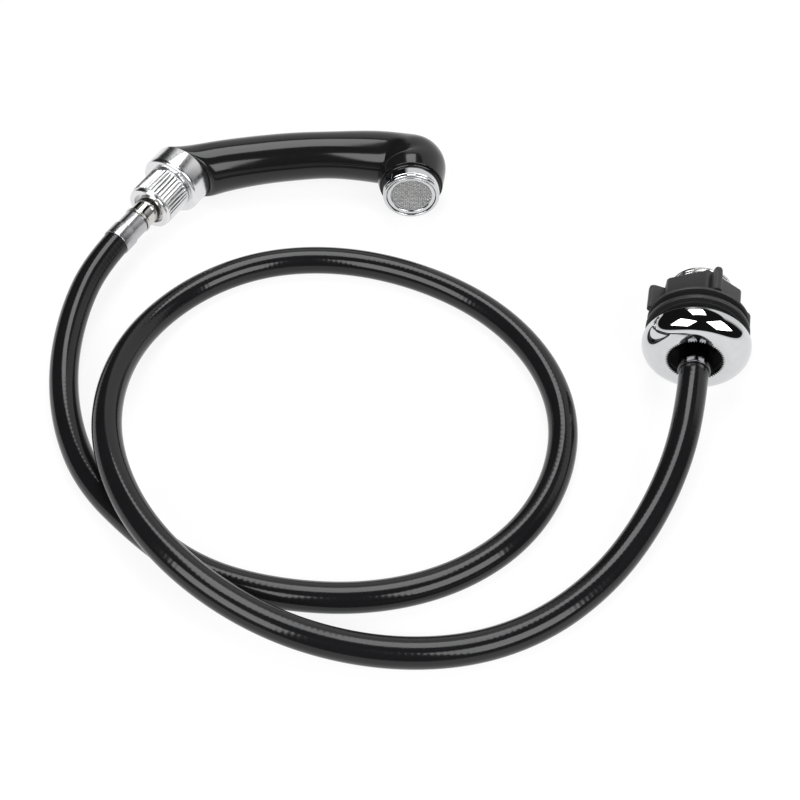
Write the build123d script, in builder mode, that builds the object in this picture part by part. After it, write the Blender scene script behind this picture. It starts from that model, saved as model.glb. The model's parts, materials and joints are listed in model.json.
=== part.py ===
from build123d import *
import os
from collections import namedtuple
from math import cos, pi, radians, sin, sqrt, tan

# Pull-out spray hose set for a wash basin, lying on a flat surface.
# Millimetres. +X runs from the handset's inlet towards the dock, +Z is up, the surface is z = 0,
# and the origin is under the middle of the box round everything except the hose.

os.makedirs("parts", exist_ok=True)

# ---- driving dimensions -------------------------------------------------------------------------

# Hose: a PVC jacket over a braid over a liner.
HOSE_R = 7.0
BRAID_R = 6.0
LINER_R = 5.4
HOSE_BORE_R = 4.0
HOSE_INSERT = 8.0  # length of hose held inside each ferrule

# Where the three round assemblies stand, and which way they point.
HANDSET_MOUTH = (-157.0, 8.1)  # mouth of the ferrule behind the handset
HANDSET_HEADING = 61.0  # degrees from +X, from the hose towards the handle
COLLAR_R = 16.9
HEAD_AT = (-3.3, 59.2)  # centre of the handle's round head, over the spout
HEAD_R = 19.5
DOCK_AT = (131.1, -79.7)  # centre of the dock's toothed hole
DOCK_HEADING = 79.0  # degrees from +X, from the hose into the dock
DOME_R = 26.0

# Pipe threads are plain walls at their largest radius, with a running gap.
PIPE_R = 10.48  # G 1/2 outside thread
SHANK_R = 15.0  # dock shank thread, M30
RUN_GAP = 0.05
SIDE_GAP = 0.1
CRIMP_GAP = 0.03  # between the hose and the ferrule crimped on it
TAIL_START = 0.5  # where a stem's hose tail begins
SMALL_ROUND = 0.4  # usual rounding of a metal edge
MATCH = 0.05  # an edge is the wanted one when it is this close

# Stations along the coupling axis, measured from the mouth of the handset ferrule.
CRIMP_END = 8.5
FERRULE_END = 18.2
STEM_RING = (18.7, 20.0)
NUT_START = 28.8
LIP = (31.8, 34.0)
STEM_HEAD = (34.9, 37.4)
NIPPLE_START = 39.5
COLLAR_START = 48.5
COLLAR_WALL = 2.5
SHELL_START = 62.0
NUT_R = 12.6
NUT_FLUTES = 36
NECK_R = 6.85

# Stations along the spout axis, measured from the middle of the head.
SPOUT_LIP = 12.0
LIP_R = 15.8
SPOUT_BORE_R = 13.9
AERATOR_FACE = 19.3
AERATOR_R = 15.1
MESH_R = 10.9

# Stations along the dock axis, measured from the toothed hole.
TEETH = 72
TOOTH_TIP_R = 13.0
TOOTH_ROOT_R = 13.9
DOME_DEPTH = 10.6
GASKET_END = 11.8
CLAMP_WASHER = (17.6, 19.9)
FRICTION_WASHER = (23.2, 24.2)
WING_FLANGE = (24.3, 25.5)
TOWER_END = 40.9
SHANK_END = 48.1
FLANGE_R = 24.5
WING_R = 26.0
FERRULE_PROUD = 7.0  # the inlet ferrule stands this far out of the toothed hole

# ---- frames of the three axes -------------------------------------------------------------------

Frame = namedtuple("Frame", "base along profile axis")


def turning_frame(x, y, z, heading):
    """Frame of a level axis. Its profile plane has x along the axis and y straight up."""
    base = Vector(x, y, z)
    along = Vector(cos(radians(heading)), sin(radians(heading)), 0)
    profile = Plane(origin=base, x_dir=along, z_dir=along.cross(Vector(0, 0, 1)))
    return Frame(base, along, profile, Axis(base, along))


def across(frame, distance):
    """Plane across a frame's axis, facing along it, with y straight up."""
    x_dir = Vector(0, 0, 1).cross(frame.along)
    return Plane(origin=frame.base + frame.along * distance, x_dir=x_dir, z_dir=frame.along)


def ring(frame, start, end, inner, outer, mode=Mode.ADD):
    """Add a plain ring about a frame's axis, between two stations and two radii."""
    with BuildSketch(frame.profile) as section:
        with Locations(((start + end) / 2, (inner + outer) / 2)):
            Rectangle(end - start, outer - inner)
    revolve(section.sketch, axis=frame.axis, mode=mode)


def bevel(builder, frame, station, radius, size):
    """Round the circular edge at one station and radius."""
    target = frame.base + frame.along * station
    edges = builder.edges().filter_by(GeomType.CIRCLE)
    edges = edges.filter_by(lambda e: abs(e.radius - radius) < MATCH)
    edges = edges.filter_by(lambda e: (e.arc_center - target).length < MATCH)
    fillet(edges, size)


def flutes(frame, start, end, count, radius, depth):
    """Cut a row of shallow V grooves along the outside of a nut."""
    with BuildSketch(across(frame, start)) as grooves:
        with PolarLocations(radius, count):
            Rectangle(depth * sqrt(2), depth * sqrt(2), rotation=45)
    extrude(grooves.sketch, amount=end - start, mode=Mode.SUBTRACT)


def finish(builder, name):
    """Label a finished piece and write its STEP file."""
    builder.part.label = name
    export_step(builder.part, f"parts/{name}.step")


coupling = turning_frame(*HANDSET_MOUTH, COLLAR_R, HANDSET_HEADING)
spout = turning_frame(*HEAD_AT, HEAD_R, -90.0)
dock = turning_frame(*DOCK_AT, DOME_R, DOCK_HEADING)
inlet_mouth = dock.base - dock.along * FERRULE_PROUD
inlet = turning_frame(inlet_mouth.X, inlet_mouth.Y, inlet_mouth.Z, DOCK_HEADING)

# ---- hose ---------------------------------------------------------------------------------------

EXIT_RUN = 16.0  # straight run outside each ferrule

ROUTE = [
    coupling.base + coupling.along * HOSE_INSERT,
    coupling.base - coupling.along * EXIT_RUN,
    (-173, -35, 13),
    (-175, -69, 8.5),
    (-168, -104, 7),
    (-153, -136, 7),
    (-127, -163, 7),
    (-98, -186, 7),
    (-62, -197, 7),
    (-22, -199, 7),
    (15, -189, 7),
    (45, -167, 7),
    (64, -135, 7),
    (70, -98, 7),
    (60, -61, 7),
    (36, -29, 7),
    (1, -6, 7),
    (-39, 6, 7),
    (-79, 4, 7),
    (-113, -13, 7),
    (-138, -44, 9.5),
    (-148, -83, 16),
    (-145, -125, 22),
    (-128, -164, 22),
    (-99, -196, 20.5),
    (-63, -217, 15),
    (-23, -226, 9),
    (17, -225, 7),
    (51, -213, 7),
    (80, -190, 7),
    (102, -162, 10),
    (118, -132, 18),
    inlet.base - inlet.along * EXIT_RUN,
    inlet.base + inlet.along * HOSE_INSERT,
]


def corner_radii(points):
    """Arc radius at each corner: 0.45 of the shorter run over the tangent of half the turn."""
    points = [Vector(*p) for p in points]
    radii = []
    for before, here, after in zip(points, points[1:], points[2:]):
        run_in = here - before
        run_out = after - here
        half_turn = radians(run_in.get_angle(run_out)) / 2
        radii.append(0.45 * min(run_in.length, run_out.length) / tan(half_turn))
    return radii


route_radii = corner_radii(ROUTE)
print("hose arc radii:", [round(r, 1) for r in route_radii])

with BuildLine() as hose_path:
    FilletPolyline(*ROUTE, radius=route_radii)

hose_length = hose_path.wires()[0].length
print("hose length:", round(hose_length, 1))


def hose_layer(name, inner, outer):
    """One layer of the hose, a tube along the whole route."""
    with BuildPart() as layer:
        with BuildSketch(across(coupling, HOSE_INSERT)):
            Circle(outer)
            Circle(inner, mode=Mode.SUBTRACT)
        sweep(path=hose_path.wires()[0])
    finish(layer, name)
    section = pi * (outer**2 - inner**2)
    print(name, "volume over section times length:", round(layer.part.volume / section / hose_length, 4))


hose_layer("hose_jacket", BRAID_R, HOSE_R)
hose_layer("hose_braid", LINER_R, BRAID_R)
hose_layer("hose_liner", HOSE_BORE_R, LINER_R)

# ---- handset end of the hose --------------------------------------------------------------------

STEM_BORE_R = 3.0
CORE_R = 5.2
FERRULE_R = 7.5
CRIMP_ROUND = 0.25
NECK_UNDERCUT = 0.7
STEM_HEAD_R = 10.0
O_RING_STATION = 32.9
O_RING_SLOT = (-0.8, 0.8)  # ends of the o-ring's groove, from its middle
O_RING_SLOT_DEPTH = 1.4
O_RING_WIRE_R = 0.75
O_RING_SINK = 0.6  # the middle of its wire lies this far below the neck's surface
WASHER_BORE_R = 4.5
HOSE_WASHER_R = 9.8

with BuildPart() as handset_ferrule:
    ring(coupling, 0, HOSE_INSERT, HOSE_R + CRIMP_GAP, FERRULE_R)
    ring(coupling, HOSE_INSERT, CRIMP_END, CORE_R, FERRULE_R)
    ring(coupling, CRIMP_END, FERRULE_END, CORE_R, NECK_R)
    bevel(handset_ferrule, coupling, CRIMP_END, FERRULE_R, CRIMP_ROUND)
finish(handset_ferrule, "handset_ferrule")

with BuildPart() as swivel_stem:
    ring(coupling, TAIL_START, HOSE_INSERT, STEM_BORE_R, HOSE_BORE_R)
    ring(coupling, HOSE_INSERT, FERRULE_END, STEM_BORE_R, CORE_R)
    ring(coupling, FERRULE_END, STEM_RING[0], STEM_BORE_R, NECK_R - NECK_UNDERCUT)
    ring(coupling, STEM_RING[0], STEM_RING[1], STEM_BORE_R, FERRULE_R)
    ring(coupling, STEM_RING[1], STEM_HEAD[0], STEM_BORE_R, NECK_R)
    ring(coupling, STEM_HEAD[0], STEM_HEAD[1], STEM_BORE_R, STEM_HEAD_R)
    slot_start, slot_end = (O_RING_STATION + end for end in O_RING_SLOT)
    ring(coupling, slot_start, slot_end, NECK_R - O_RING_SLOT_DEPTH, NECK_R + SIDE_GAP, Mode.SUBTRACT)
    bevel(swivel_stem, coupling, STEM_RING[0], FERRULE_R, SMALL_ROUND)
    bevel(swivel_stem, coupling, STEM_RING[1], FERRULE_R, SMALL_ROUND)
finish(swivel_stem, "swivel_stem")

with BuildPart() as stem_o_ring:
    with BuildSketch(coupling.profile):
        with Locations((O_RING_STATION, NECK_R - O_RING_SINK)):
            Circle(O_RING_WIRE_R)
    revolve(axis=coupling.axis)
finish(stem_o_ring, "stem_o_ring")

with BuildPart() as hose_washer:
    ring(coupling, STEM_HEAD[1], NIPPLE_START - RUN_GAP, WASHER_BORE_R, HOSE_WASHER_R)
finish(hose_washer, "hose_washer")

# ---- coupling nut -------------------------------------------------------------------------------

RIM_R = 12.2
RIM_END = NUT_START + 2.6
RIM_ROUND = 1.2
RIM_BORE_R = 8.85
RIM_BORE_ROUND = 0.6
NUT_END = COLLAR_START - 0.2
FLUTE_DEPTH = 0.5
LIP_BORE_R = NECK_R + 0.2
SLIP_RING_R = (NECK_R + 0.25, 10.2)

with BuildPart() as coupling_nut:
    ring(coupling, NUT_START, RIM_END, 0, RIM_R)
    ring(coupling, RIM_END, NUT_END, 0, NUT_R)
    bevel(coupling_nut, coupling, NUT_START, RIM_R, RIM_ROUND)
    flutes(coupling, RIM_END, NUT_END, NUT_FLUTES, NUT_R, FLUTE_DEPTH)
    ring(coupling, NUT_START, LIP[0], 0, RIM_BORE_R, Mode.SUBTRACT)
    ring(coupling, LIP[0], LIP[1], 0, LIP_BORE_R, Mode.SUBTRACT)
    ring(coupling, LIP[1], NUT_END, 0, PIPE_R + RUN_GAP, Mode.SUBTRACT)
    bevel(coupling_nut, coupling, NUT_START, RIM_BORE_R, RIM_BORE_ROUND)
finish(coupling_nut, "coupling_nut")

with BuildPart() as nut_slip_ring:
    ring(coupling, LIP[1] + SIDE_GAP, STEM_HEAD[0] - SIDE_GAP, *SLIP_RING_R)
finish(nut_slip_ring, "nut_slip_ring")

# ---- handset: inlet nipple and collar -----------------------------------------------------------

NIPPLE_BORE_R = 7.0
NIPPLE_FLANGE = (COLLAR_START + COLLAR_WALL, COLLAR_START + COLLAR_WALL + 3.5)
NIPPLE_FLANGE_R = 13.2
NIPPLE_END = 62.5
NIPPLE_TAIL_R = 10.4
SEAL_STATION = 58.5
SEAL_SLOT = (-0.9, 0.9)  # ends of the seal's groove, from its middle
SEAL_SLOT_DEPTH = 1.65
SEAL_WIRE_R = 0.85
SEAL_SINK = 0.78  # the middle of its wire lies this far below the tail's surface
COLLAR_BORE_R = PIPE_R + 0.12
COLLAR_SOCKET_R = NIPPLE_FLANGE_R + SIDE_GAP
COLLAR_ROUND = 2.2

with BuildPart() as inlet_nipple:
    ring(coupling, NIPPLE_START, NIPPLE_FLANGE[0], NIPPLE_BORE_R, PIPE_R)
    ring(coupling, NIPPLE_FLANGE[0], NIPPLE_FLANGE[1], NIPPLE_BORE_R, NIPPLE_FLANGE_R)
    ring(coupling, NIPPLE_FLANGE[1], NIPPLE_END, NIPPLE_BORE_R, NIPPLE_TAIL_R)
    slot_start, slot_end = (SEAL_STATION + end for end in SEAL_SLOT)
    slot_floor_r = NIPPLE_TAIL_R - SEAL_SLOT_DEPTH
    ring(coupling, slot_start, slot_end, slot_floor_r, NIPPLE_TAIL_R + SIDE_GAP, Mode.SUBTRACT)
finish(inlet_nipple, "inlet_nipple")

with BuildPart() as nipple_o_ring:
    with BuildSketch(coupling.profile):
        with Locations((SEAL_STATION, NIPPLE_TAIL_R - SEAL_SINK)):
            Circle(SEAL_WIRE_R)
    revolve(axis=coupling.axis)
finish(nipple_o_ring, "nipple_o_ring")

with BuildPart() as handle_collar:
    ring(coupling, COLLAR_START, NIPPLE_FLANGE[0], COLLAR_BORE_R, COLLAR_R)
    ring(coupling, NIPPLE_FLANGE[0], SHELL_START, COLLAR_SOCKET_R, COLLAR_R)
    bevel(handle_collar, coupling, COLLAR_START, COLLAR_R, COLLAR_ROUND)
    bevel(handle_collar, coupling, SHELL_START, COLLAR_R, SMALL_ROUND)
finish(handle_collar, "handle_collar")

# ---- handset: handle shell ----------------------------------------------------------------------

SHELL_WALL = 2.6
SHELL_BASE_R = 16.6
SOCKET_R = NIPPLE_TAIL_R + SIDE_GAP
SLEEVE_R = 13.25
SEAT_WALL = 1.0  # inner wall that the spout insert and the aerator's gasket stop against
SPOUT_TUBE_R = 14.3  # thin tube inside the head, round the spout's bore
SHOULDER = 10.9  # station on the spout where the round head steps down to its lip
BITE = 1.0  # how far two features of one solid run into each other
SOCKET_DEPTH = 1.0  # room past the nipple's tail

# Sections from the collar to the bend: x, y, height of the middle, heading, half width, half height.
HANDLE = [
    (-119.4, 62.8, 17.0, 40.4, 14.8, 15.3),
    (-108.0, 65.8, 17.3, 19.1, 13.6, 14.4),
    (-86.0, 70.9, 17.6, 14.4, 13.3, 13.3),
    (-66.0, 73.3, 18.1, 4.5, 13.0, 13.0),
    (-44.0, 73.8, 18.7, -0.5, 12.9, 12.9),
]

# The bend fans round a point just inside its crease. Each round section: heading, radius, height.
BEND_PIVOT = Vector(-19.5, 55.6, 0)
BEND_GAP = 1.5
BEND = [
    (-8.0, 14.3, 19.0),
    (-32.0, 15.0, 19.3),
    (-55.0, 16.9, 19.5),
    (-76.0, 17.2, 19.5),
]

# Round sections of the head, across the spout: station, radius.
HEAD = [
    (4.4, 18.0),
    (SHOULDER, 16.9),
]
HOLLOW_START = (SHELL_START + 1.0, 9.5)
HOLLOW_END = (8.5, 14.9)


def handle_sections():
    """Plane, half width and half height of each section of the handle, from the collar to its lip."""
    sections = [(across(coupling, SHELL_START), SHELL_BASE_R, SHELL_BASE_R)]
    for x, y, z, heading, half_width, half_height in HANDLE:
        sections.append((across(turning_frame(x, y, z, heading), 0), half_width, half_height))
    for heading, radius, height in BEND:
        outward = Vector(-sin(radians(heading)), cos(radians(heading)), 0)
        middle = BEND_PIVOT + outward * (BEND_GAP + radius)
        sections.append((across(turning_frame(middle.X, middle.Y, height, heading), 0), radius, radius))
    for station, radius in HEAD:
        sections.append((across(spout, station), radius, radius))
    return sections


def hollow_sections():
    """The same for the hollow, which starts inside the socket and ends short of the lip."""
    start_station, start_radius = HOLLOW_START
    end_station, end_radius = HOLLOW_END
    sections = [(across(coupling, start_station), start_radius, start_radius)]
    for plane, half_width, half_height in handle_sections()[2:-1]:
        sections.append((plane, half_width - SHELL_WALL, half_height - SHELL_WALL))
    sections.append((across(spout, end_station), end_radius, end_radius))
    return sections


def oval_loft(sections, mode=Mode.ADD):
    """Loft through oval sections."""
    ovals = []
    for plane, half_width, half_height in sections:
        with BuildSketch(plane) as section:
            Ellipse(half_width, half_height)
        ovals.append(section.sketch)
    loft(ovals, mode=mode)


def loose_ring(frame, start, end, inner, outer):
    """A plain ring as a part of its own."""
    with BuildPart() as loose:
        ring(frame, start, end, inner, outer)
    return loose.part


with BuildPart() as handle_skin:
    oval_loft(handle_sections())
    oval_loft(hollow_sections(), Mode.SUBTRACT)

# The free-form skin only joins the turned features soundly one whole part at a time.
shell = handle_skin.part
shell += loose_ring(spout, SHOULDER - BITE, SPOUT_LIP, SPOUT_BORE_R - BITE, LIP_R)
shell += loose_ring(spout, 0, SPOUT_LIP, SPOUT_BORE_R - BITE, SPOUT_TUBE_R)
shell -= loose_ring(spout, SEAT_WALL, SPOUT_LIP, 0, SPOUT_BORE_R)
shell += loose_ring(spout, 0, SEAT_WALL, MESH_R, SPOUT_BORE_R)
shell -= loose_ring(coupling, SHELL_START - BITE, NIPPLE_END + SOCKET_DEPTH, 0, SOCKET_R)

with BuildPart() as handle_shell:
    add(shell)
finish(handle_shell, "handle_shell")

with BuildPart() as socket_sleeve:
    ring(coupling, NIPPLE_FLANGE[1] + SIDE_GAP, SHELL_START, SOCKET_R, SLEEVE_R)
finish(socket_sleeve, "socket_sleeve")

INSERT = (3.0, SPOUT_LIP - 0.4)
INSERT_BORE_R = 12.65

with BuildPart() as spout_insert:
    ring(spout, INSERT[0], INSERT[1], INSERT_BORE_R, SPOUT_BORE_R)
finish(spout_insert, "spout_insert")

# ---- aerator ------------------------------------------------------------------------------------

SPIGOT = (3.05, SPOUT_LIP + SIDE_GAP)
SPIGOT_BORE_R = 11.1
SPIGOT_THREAD_R = 12.6
GASKET_END_STATION = 2.95
GASKET_R = 12.5
CUP_START = 13.6
CUP_R = 13.25
CUP_ROUND = 0.5
FACE_ROUND = 1.1
INNER_RING_R = 12.95
INNER_RING_END = AERATOR_FACE - 0.4
MESH = (18.0, 18.5)
CORE = (14.0, 16.0)
JET_R = 0.8
JET_CIRCLES = [(8.2, 18), (5.4, 12), (2.7, 6)]  # radius of each circle of jets, and how many

with BuildPart() as aerator_gasket:
    ring(spout, SEAT_WALL + RUN_GAP, GASKET_END_STATION, MESH_R, GASKET_R)
finish(aerator_gasket, "aerator_gasket")

with BuildPart() as aerator_housing:
    ring(spout, SPIGOT[0], SPIGOT[1], SPIGOT_BORE_R, SPIGOT_THREAD_R)
    ring(spout, SPIGOT[1], CUP_START, SPIGOT_BORE_R, AERATOR_R)
    ring(spout, CUP_START, AERATOR_FACE, CUP_R, AERATOR_R)
    bevel(aerator_housing, spout, AERATOR_FACE, AERATOR_R, FACE_ROUND)
    bevel(aerator_housing, spout, AERATOR_FACE, CUP_R, CUP_ROUND)
finish(aerator_housing, "aerator_housing")

with BuildPart() as aerator_inner_ring:
    ring(spout, CUP_START, INNER_RING_END, MESH_R, INNER_RING_R)
    bevel(aerator_inner_ring, spout, INNER_RING_END, INNER_RING_R, CUP_ROUND)
finish(aerator_inner_ring, "aerator_inner_ring")

with BuildPart() as aerator_mesh:
    ring(spout, MESH[0], MESH[1], 0, MESH_R)
finish(aerator_mesh, "aerator_mesh")

with BuildPart() as aerator_core:
    ring(spout, CORE[0], CORE[1], 0, MESH_R - RUN_GAP)
    for jet_circle, jets in JET_CIRCLES:
        with BuildSketch(across(spout, CORE[0])):
            with PolarLocations(jet_circle, jets):
                Circle(JET_R)
        extrude(amount=CORE[1] - CORE[0], mode=Mode.SUBTRACT)
finish(aerator_core, "aerator_core")

# ---- inlet end of the hose, inside the dock -----------------------------------------------------

INLET_FERRULE_R = 7.8
INLET_NUT = (22.0, 37.0)
INLET_HEAD = (26.4, 28.6)
INLET_HEAD_R = 9.8
INLET_WASHER_R = 9.6
INLET_WASHER_END = 30.6
INLET_NECK_R = 6.3
INLET_NUT_R = 12.3
INLET_NUT_ROUND = 0.8
INLET_FLUTE_DEPTH = 0.4
INLET_NUT_MARGINS = (2.0, 1.0)  # plain ends of the nut, before and after its flutes
INLET_COLLAR_END = INLET_HEAD[0] - 0.3
INLET_POCKET_R = PIPE_R + 0.3
INLET_POCKET_END = INLET_WASHER_END + SIDE_GAP

with BuildPart() as inlet_ferrule:
    ring(inlet, 0, HOSE_INSERT, HOSE_R + CRIMP_GAP, INLET_FERRULE_R)
    ring(inlet, HOSE_INSERT, FERRULE_END, CORE_R, INLET_FERRULE_R)
    bevel(inlet_ferrule, inlet, FERRULE_END, INLET_FERRULE_R, SMALL_ROUND)
finish(inlet_ferrule, "inlet_ferrule")

with BuildPart() as inlet_stem:
    ring(inlet, TAIL_START, HOSE_INSERT, STEM_BORE_R, HOSE_BORE_R)
    ring(inlet, HOSE_INSERT, FERRULE_END, STEM_BORE_R, CORE_R)
    ring(inlet, FERRULE_END, INLET_HEAD[0], STEM_BORE_R, INLET_NECK_R)
    ring(inlet, INLET_HEAD[0], INLET_HEAD[1], STEM_BORE_R, INLET_HEAD_R)
finish(inlet_stem, "inlet_stem")

with BuildPart() as inlet_washer:
    ring(inlet, INLET_HEAD[1], INLET_WASHER_END, WASHER_BORE_R, INLET_WASHER_R)
finish(inlet_washer, "inlet_washer")

with BuildPart() as inlet_nut:
    ring(inlet, INLET_NUT[0], INLET_NUT[1], 0, INLET_NUT_R)
    bevel(inlet_nut, inlet, INLET_NUT[0], INLET_NUT_R, INLET_NUT_ROUND)
    bevel(inlet_nut, inlet, INLET_NUT[1], INLET_NUT_R, SMALL_ROUND)
    flutes_start = INLET_NUT[0] + INLET_NUT_MARGINS[0]
    flutes_end = INLET_NUT[1] - INLET_NUT_MARGINS[1]
    flutes(inlet, flutes_start, flutes_end, NUT_FLUTES, INLET_NUT_R, INLET_FLUTE_DEPTH)
    ring(inlet, INLET_NUT[0], INLET_COLLAR_END, 0, INLET_NECK_R + SIDE_GAP, Mode.SUBTRACT)
    ring(inlet, INLET_COLLAR_END, INLET_POCKET_END, 0, INLET_POCKET_R, Mode.SUBTRACT)
    ring(inlet, INLET_POCKET_END, INLET_NUT[1], 0, PIPE_R, Mode.SUBTRACT)
finish(inlet_nut, "inlet_nut")

# ---- dock ---------------------------------------------------------------------------------------

DOME_WALL = 1.8
CROWN_R = 15.6  # radius of the foremost circle of the dome
CROWN_DEPTH = 9.4
RELIEF = (41.1, 41.7)  # thread relief that sets off the free end of the shank
RELIEF_DEPTH = 0.4
SHANK_START = 8.0
SHANK_FLANGE_START = 9.2
SHANK_ROUND = 0.6
SHANK_BORE_R = 13.5
BUSH_R = 12.9
BUSH_END = 44.0
BUSH_HEAD = (13.2, 15.0)  # inner and outer radius
FACEPLATE_END = 3.0
FACEPLATE_R = 12.0
FACEPLATE_START = 0.6
DOME_EDGE = 0.4
DOME_EDGE_START = DOME_DEPTH - 0.3
GASKET_R_OUT = 25.0
CLAMP_WASHER_R = (SHANK_R + 0.4, 24.9)
FRICTION_WASHER_R = (SHANK_R + 0.3, 21.0)


def tooth_outline():
    """Corners of the toothed hole, tip and root in turn."""
    corners = []
    for tooth in range(TEETH):
        tip = radians(360 * tooth / TEETH)
        root = radians(360 * (tooth + 0.5) / TEETH)
        corners.append((TOOTH_TIP_R * cos(tip), TOOTH_TIP_R * sin(tip)))
        corners.append((TOOTH_ROOT_R * cos(root), TOOTH_ROOT_R * sin(root)))
    return corners


with BuildPart() as dock_dome:
    with BuildSketch(dock.profile):
        with BuildLine():
            crown = (CROWN_DEPTH, CROWN_R)
            outer = EllipticalCenterArc(crown, CROWN_DEPTH, DOME_R - CROWN_R, 90, arc_size=90)
            inner = EllipticalCenterArc(
                crown, CROWN_DEPTH - DOME_WALL, DOME_R - CROWN_R - DOME_WALL, 90, arc_size=90
            )
            edge = (DOME_DEPTH, DOME_R - DOME_EDGE)
            Polyline(outer @ 0, (DOME_EDGE_START, DOME_R), edge)
            Polyline(edge, (DOME_DEPTH, DOME_R - DOME_WALL), inner @ 0)
            Polyline(outer @ 1, (FACEPLATE_START, FACEPLATE_R), (FACEPLATE_END, FACEPLATE_R))
            Polyline((FACEPLATE_END, FACEPLATE_R), (FACEPLATE_END, CROWN_R), inner @ 1)
        make_face()
    revolve(axis=dock.axis)
    with BuildSketch(across(dock, -BITE)):
        Polygon(*tooth_outline(), align=None)
    extrude(amount=FACEPLATE_END + 2 * BITE, mode=Mode.SUBTRACT)
finish(dock_dome, "dock_dome")

with BuildPart() as dock_shank:
    ring(dock, SHANK_START, SHANK_END, SHANK_BORE_R, SHANK_R)
    ring(dock, SHANK_FLANGE_START, DOME_DEPTH, SHANK_BORE_R + BITE, DOME_R - DOME_WALL - RUN_GAP)
    bevel(dock_shank, dock, SHANK_END, SHANK_R, SHANK_ROUND)
    ring(dock, RELIEF[0], RELIEF[1], SHANK_R - RELIEF_DEPTH, SHANK_R + SIDE_GAP, Mode.SUBTRACT)
finish(dock_shank, "dock_shank")

with BuildPart() as guide_bush:
    ring(dock, FACEPLATE_END + RUN_GAP, BUSH_END, BUSH_R, SHANK_BORE_R)
    ring(dock, FACEPLATE_END + RUN_GAP, SHANK_START - SIDE_GAP, *BUSH_HEAD)
finish(guide_bush, "guide_bush")

with BuildPart() as dome_gasket:
    ring(dock, DOME_DEPTH, GASKET_END, SHANK_R, GASKET_R_OUT)
finish(dome_gasket, "dome_gasket")

with BuildPart() as clamp_washer:
    ring(dock, CLAMP_WASHER[0], CLAMP_WASHER[1], *CLAMP_WASHER_R)
    bevel(clamp_washer, dock, CLAMP_WASHER[0], CLAMP_WASHER_R[1], SMALL_ROUND)
    bevel(clamp_washer, dock, CLAMP_WASHER[1], CLAMP_WASHER_R[1], SMALL_ROUND)
finish(clamp_washer, "clamp_washer")

with BuildPart() as friction_washer:
    ring(dock, FRICTION_WASHER[0], FRICTION_WASHER[1], *FRICTION_WASHER_R)
finish(friction_washer, "friction_washer")

# ---- wing nut -----------------------------------------------------------------------------------

TOWER_R = 20.9
TOWER_CORNER = 92.0  # degrees, in the plane across the axis, from its x axis
FIRST_WING = 102.0
WING_LENGTH = 14.6
WING_THICK = 3.9
WING_ROOT_R = 17.0
WING_CORNER = 2.4
WING_SINK = 0.6  # how far the wings run into the flange


def wing_plane(angle):
    """Plane of one wing: x along the shank, y straight out from it."""
    section = across(dock, WING_FLANGE[1])
    out = section.x_dir * cos(radians(angle)) + section.y_dir * sin(radians(angle))
    return Plane(origin=section.origin, x_dir=dock.along, z_dir=dock.along.cross(out))


with BuildPart() as wing_nut:
    ring(dock, WING_FLANGE[0], WING_FLANGE[1], 0, FLANGE_R)
    with BuildSketch(across(dock, WING_FLANGE[1])):
        RegularPolygon(TOWER_R, 6, rotation=TOWER_CORNER)
    extrude(amount=TOWER_END - WING_FLANGE[1])
    with BuildSketch(*[wing_plane(FIRST_WING + 90 * wing) for wing in range(4)]):
        with Locations(((WING_LENGTH - WING_SINK) / 2, (WING_ROOT_R + WING_R) / 2)):
            blade = Rectangle(WING_LENGTH + WING_SINK, WING_R - WING_ROOT_R)
        fillet(blade.vertices().group_by(Axis.Y)[-1].sort_by(Axis.X)[-1], WING_CORNER)
    extrude(amount=WING_THICK / 2, both=True)
    ring(dock, WING_FLANGE[0], TOWER_END, 0, SHANK_R + RUN_GAP, Mode.SUBTRACT)
finish(wing_nut, "wing_nut")
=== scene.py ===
import json
from math import atan2, cos, degrees, hypot, pi, radians, sin, tau

import bmesh
import bpy
import numpy as np
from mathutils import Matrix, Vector


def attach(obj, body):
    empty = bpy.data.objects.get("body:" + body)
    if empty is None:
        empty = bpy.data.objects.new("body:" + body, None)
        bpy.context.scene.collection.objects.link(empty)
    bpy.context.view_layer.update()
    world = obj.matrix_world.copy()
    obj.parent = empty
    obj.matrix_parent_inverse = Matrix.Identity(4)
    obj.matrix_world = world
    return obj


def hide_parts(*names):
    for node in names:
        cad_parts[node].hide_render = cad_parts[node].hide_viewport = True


# A pull-out spray hose set. Pieces are built in millimetres and stored in metres.
MM = 0.001

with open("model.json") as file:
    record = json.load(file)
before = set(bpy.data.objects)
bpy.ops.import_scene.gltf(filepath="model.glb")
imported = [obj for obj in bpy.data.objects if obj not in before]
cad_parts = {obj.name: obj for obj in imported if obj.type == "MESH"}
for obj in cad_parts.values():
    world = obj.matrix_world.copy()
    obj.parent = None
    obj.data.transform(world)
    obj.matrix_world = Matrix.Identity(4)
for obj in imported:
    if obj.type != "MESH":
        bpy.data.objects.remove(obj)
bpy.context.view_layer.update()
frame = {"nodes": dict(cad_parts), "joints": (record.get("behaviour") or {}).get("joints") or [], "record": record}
joints = {joint["name"]: joint for joint in frame["joints"]}


# ---- lines that the round pieces stand on ---------------------------------------------------------

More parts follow.
